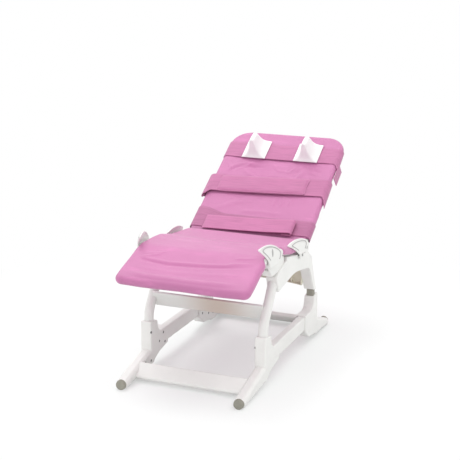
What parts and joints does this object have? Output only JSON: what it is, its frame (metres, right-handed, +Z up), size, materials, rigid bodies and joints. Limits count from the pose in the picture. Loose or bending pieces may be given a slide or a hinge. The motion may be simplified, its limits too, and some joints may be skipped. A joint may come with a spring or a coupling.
{
  "type": "child bath chair",
  "caption": "Reclining mesh bath chair for a child: calf, seat and back panels on two side arches, dropped into a low four-footed stand",
  "frame": {"origin": "on the floor, under the middle of the whole object", "axes": "+Z up, +Y from the foot end to the head end, +X to the chair's side that is on the right when it is seen from the foot end"},
  "size_m": [0.4472, 0.9732, 0.6491],
  "materials": {
    "stand_plastic": "satin white",
    "arch_plastic": "satin white",
    "lever_plastic": "gloss white",
    "white_tube": "white powder coat",
    "hinge_metal": "cast, satin",
    "pivot_steel": "brushed",
    "screw_steel": "plain",
    "bush_plastic": "plain",
    "mesh_fabric": "open woven mesh",
    "strap_webbing": "ribbed webbing",
    "strap_padding": "padded, stitched edge",
    "cushion_cover": "smooth coated cloth over foam",
    "foot_rubber": "matt grey"
  },
  "bodies": {
    "stand": {"stand_front_inner_shell_right": "stand_plastic", "stand_front_inner_shell_left": "stand_plastic", "stand_front_outer_shell_right": "stand_plastic", "stand_front_outer_shell_left": "stand_plastic", "stand_front_crossbar": "stand_plastic", "stand_rear_inner_shell_right": "stand_plastic", "stand_rear_inner_shell_left": "stand_plastic", "stand_rear_outer_shell_right": "stand_plastic", "stand_rear_outer_shell_left": "stand_plastic", "stand_rear_crossbar": "stand_plastic", "stand_side_rail_right": "stand_plastic", "stand_side_rail_left": "stand_plastic", "stand_foot_caps": "foot_rubber", "stand_screws": "screw_steel"},
    "base": {"front_leg_end_caps": "foot_rubber", "rear_leg_feet": "foot_rubber", "arch_screws": "screw_steel", "arch_inner_shell_right": "arch_plastic", "arch_inner_shell_left": "arch_plastic", "arch_outer_shell_right": "arch_plastic", "arch_outer_shell_left": "arch_plastic", "base_front_crossbar": "arch_plastic", "base_rear_crossbar": "arch_plastic", "front_leg_right": "white_tube", "front_leg_left": "white_tube", "seat_rail_right": "white_tube", "seat_rail_left": "white_tube", "knee_pivot_pins": "pivot_steel", "hip_pivot_pins": "pivot_steel", "lever_pins": "pivot_steel", "lever_springs": "pivot_steel", "hinge_bushes": "bush_plastic", "seat_cover": "mesh_fabric"},
    "calf": {"calf_frame": "white_tube", "calf_hinge_plates": "hinge_metal", "calf_cover": "mesh_fabric"},
    "back": {"back_frame": "white_tube", "back_cross_tube": "white_tube", "back_hinge_plates": "hinge_metal", "back_cover": "mesh_fabric", "head_strap": "strap_webbing", "head_strap_tail": "strap_webbing", "chest_strap": "strap_webbing", "pelvic_band": "strap_webbing", "pelvic_belt": "strap_webbing", "chest_strap_pad": "strap_padding"},
    "head_cushion_right": {"head_block_right": "cushion_cover"},
    "knee_release_right": {"knee_lever_right": "lever_plastic"},
    "knee_clamp_right": {"knee_pad_right": "bush_plastic"},
    "hip_release_right": {"hip_lever_right": "lever_plastic"},
    "hip_clamp_right": {"hip_pad_right": "bush_plastic"},
    "head_cushion_left": {"head_block_left": "cushion_cover"},
    "knee_release_left": {"knee_lever_left": "lever_plastic"},
    "knee_clamp_left": {"knee_pad_left": "bush_plastic"},
    "hip_release_left": {"hip_lever_left": "lever_plastic"},
    "hip_clamp_left": {"hip_pad_left": "bush_plastic"}
  },
  "joints": [
    {"name": "chair_lift", "type": "slide", "parent": "stand", "child": "base", "axis": [0, 0, 1], "range_m": [0, 0.12]},
    {"name": "calf_tilt", "type": "hinge", "parent": "base", "child": "calf", "pos_m": [0, -0.25259, 0.374], "axis": [-1, 0, 0], "range_deg": [-50, 8]},
    {"name": "back_tilt", "type": "hinge", "parent": "base", "child": "back", "pos_m": [0, 0.05941, 0.345], "axis": [1, 0, 0], "range_deg": [-30, 42]},
    {"name": "head_cushion_slide_right", "type": "slide", "parent": "back", "child": "head_cushion_right", "axis": [1, 0, 0], "range_m": [-0.03, 0.03]},
    {"name": "knee_release_turn_right", "type": "hinge", "parent": "base", "child": "knee_release_right", "pos_m": [0.2115, -0.25259, 0.383], "axis": [0, 1, 0], "range_deg": [0, 15], "stiffness_Nm_per_rad": 0.4, "springref_deg": -11.46},
    {"name": "knee_clamp_slide_right", "type": "slide", "parent": "base", "child": "knee_clamp_right", "axis": [1, 0, 0], "range_m": [0, 0.0012]},
    {"name": "hip_release_turn_right", "type": "hinge", "parent": "base", "child": "hip_release_right", "pos_m": [0.2115, -0.00959, 0.335], "axis": [0, 1, 0], "range_deg": [0, 15], "stiffness_Nm_per_rad": 0.4, "springref_deg": -11.46},
    {"name": "hip_clamp_slide_right", "type": "slide", "parent": "base", "child": "hip_clamp_right", "axis": [1, 0, 0], "range_m": [0, 0.0012]},
    {"name": "head_cushion_slide_left", "type": "slide", "parent": "back", "child": "head_cushion_left", "axis": [1, 0, 0], "range_m": [-0.03, 0.03]},
    {"name": "knee_release_turn_left", "type": "hinge", "parent": "base", "child": "knee_release_left", "pos_m": [-0.2115, -0.25259, 0.383], "axis": [0, -1, 0], "range_deg": [0, 15], "stiffness_Nm_per_rad": 0.4, "springref_deg": -11.46},
    {"name": "knee_clamp_slide_left", "type": "slide", "parent": "base", "child": "knee_clamp_left", "axis": [-1, 0, 0], "range_m": [0, 0.0012]},
    {"name": "hip_release_turn_left", "type": "hinge", "parent": "base", "child": "hip_release_left", "pos_m": [-0.2115, -0.00959, 0.335], "axis": [0, -1, 0], "range_deg": [0, 15], "stiffness_Nm_per_rad": 0.4, "springref_deg": -11.46},
    {"name": "hip_clamp_slide_left", "type": "slide", "parent": "base", "child": "hip_clamp_left", "axis": [-1, 0, 0], "range_m": [0, 0.0012]}
  ],
  "couplings": [
    {"joint": "knee_clamp_slide_right", "follows": "knee_release_turn_right", "m_per_rad": 0.00458},
    {"joint": "hip_clamp_slide_right", "follows": "hip_release_turn_right", "m_per_rad": 0.00458},
    {"joint": "knee_clamp_slide_left", "follows": "knee_release_turn_left", "m_per_rad": 0.00458},
    {"joint": "hip_clamp_slide_left", "follows": "hip_release_turn_left", "m_per_rad": 0.00458}
  ]
}
